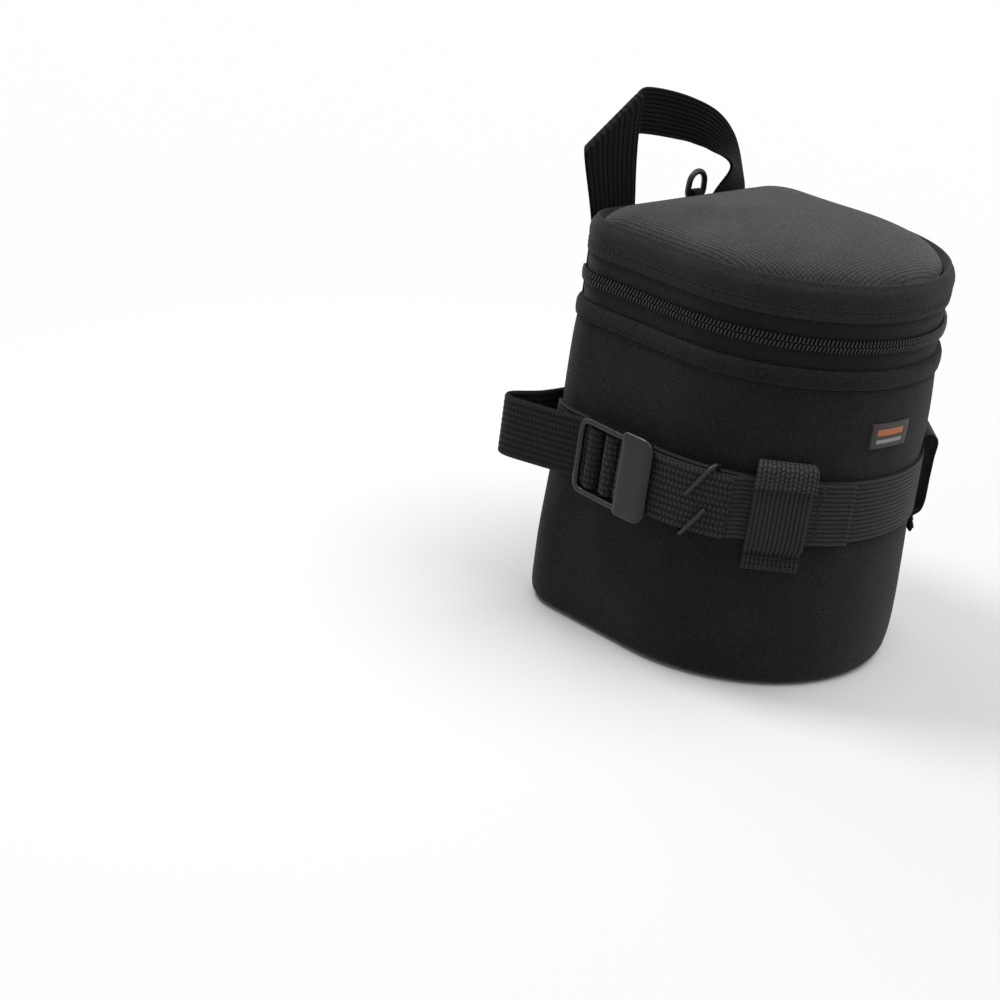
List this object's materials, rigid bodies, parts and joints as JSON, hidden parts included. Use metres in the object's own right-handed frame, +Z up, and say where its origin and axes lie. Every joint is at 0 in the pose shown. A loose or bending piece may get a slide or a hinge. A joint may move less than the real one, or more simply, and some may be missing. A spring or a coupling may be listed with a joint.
{
  "type": "lens pouch",
  "caption": "Padded D-shaped lens pouch with a zipped hinged lid, webbing handle, cinch belt with ladder-lock buckle, and a belt flap behind.",
  "frame": {"origin": "middle of the flat base, on the surface the pouch stands on", "axes": "+Z up through the lid, +Y towards the flat back with the belt flap, -Y the round front, +X to the right seen from the front"},
  "size_m": [0.1367, 0.1258, 0.1893],
  "materials": {
    "shell_cloth": "plain woven nylon, matt",
    "lining_cloth": "brushed tricot",
    "foam": "closed-cell foam",
    "webbing": "ribbed nylon webbing",
    "zip_nylon": "nylon coil",
    "moulded_plastic": "satin moulded acetal",
    "pad_pile": "hook and loop pile",
    "label_cloth": "woven label"
  },
  "bodies": {
    "pouch": {"body_wall": "shell_cloth", "back_panel": "shell_cloth", "base_panel": "shell_cloth", "base_foam": "foam", "wall_foam": "foam", "back_foam": "foam", "lining": "lining_cloth", "body_rim_tape": "shell_cloth", "zip_tape_lower": "webbing", "zip_coil_lower": "zip_nylon", "belt_webbing": "webbing", "cinch_strap": "webbing", "strap_tail": "webbing", "front_tab": "webbing", "right_tab": "webbing", "label_patch": "label_cloth", "side_strap": "webbing", "handle_foot_left": "webbing", "handle_foot_right": "webbing", "loop_pad": "pad_pile", "flap_anchor": "webbing"},
    "lid": {"zip_tape_upper": "webbing", "zip_coil_upper": "zip_nylon", "lid_band": "shell_cloth", "hinge_panel": "shell_cloth", "lid_top_panel": "shell_cloth", "lid_foam": "foam", "lid_lining": "lining_cloth", "ring_tab": "webbing"},
    "handle": {"handle_strap": "webbing"},
    "slider": {"zip_slider": "moulded_plastic"},
    "pull": {"zip_pull": "moulded_plastic"},
    "keeper": {"strap_keeper": "moulded_plastic"},
    "buckle": {"ladder_lock": "moulded_plastic", "strap_bar_wrap": "webbing"},
    "flap": {"belt_flap": "webbing", "hook_pad": "pad_pile"},
    "ring": {"hang_ring": "moulded_plastic"}
  },
  "joints": [
    {"name": "lid_hinge", "type": "hinge", "parent": "pouch", "child": "lid", "pos_m": [0, 0.05725, 0.12], "axis": [-1, 0, 0], "range_deg": [0, 90]},
    {"name": "handle_fold", "type": "hinge", "parent": "lid", "child": "handle", "pos_m": [0, 0.05725, 0.12], "axis": [-1, 0, 0], "range_deg": [0, 20]},
    {"name": "zip_run", "type": "hinge", "parent": "pouch", "child": "slider", "pos_m": [0, 0.00075, 0.127], "axis": [0, 0, -1], "range_deg": [0, 165]},
    {"name": "pull_swing", "type": "hinge", "parent": "slider", "child": "pull", "pos_m": [0.0627, 0.00075, 0.127], "axis": [0, -1, 0], "range_deg": [0, 90]},
    {"name": "keeper_slide", "type": "hinge", "parent": "pouch", "child": "keeper", "pos_m": [0, 0.00075, 0.0675], "axis": [0, 0, 1], "range_deg": [-6, 3]},
    {"name": "buckle_tilt", "type": "hinge", "parent": "pouch", "child": "buckle", "pos_m": [-0.06413, 0.024, 0.0675], "axis": [0, 0, -1], "range_deg": [0, 22]},
    {"name": "flap_open", "type": "hinge", "parent": "pouch", "child": "flap", "pos_m": [0, 0.0606, 0.0995], "axis": [1, 0, 0], "range_deg": [0, 50]},
    {"name": "ring_swing", "type": "hinge", "parent": "lid", "child": "ring", "pos_m": [0.014, 0.05925, 0.1465], "axis": [-1, 0, 0], "range_deg": [0, 150]}
  ]
}
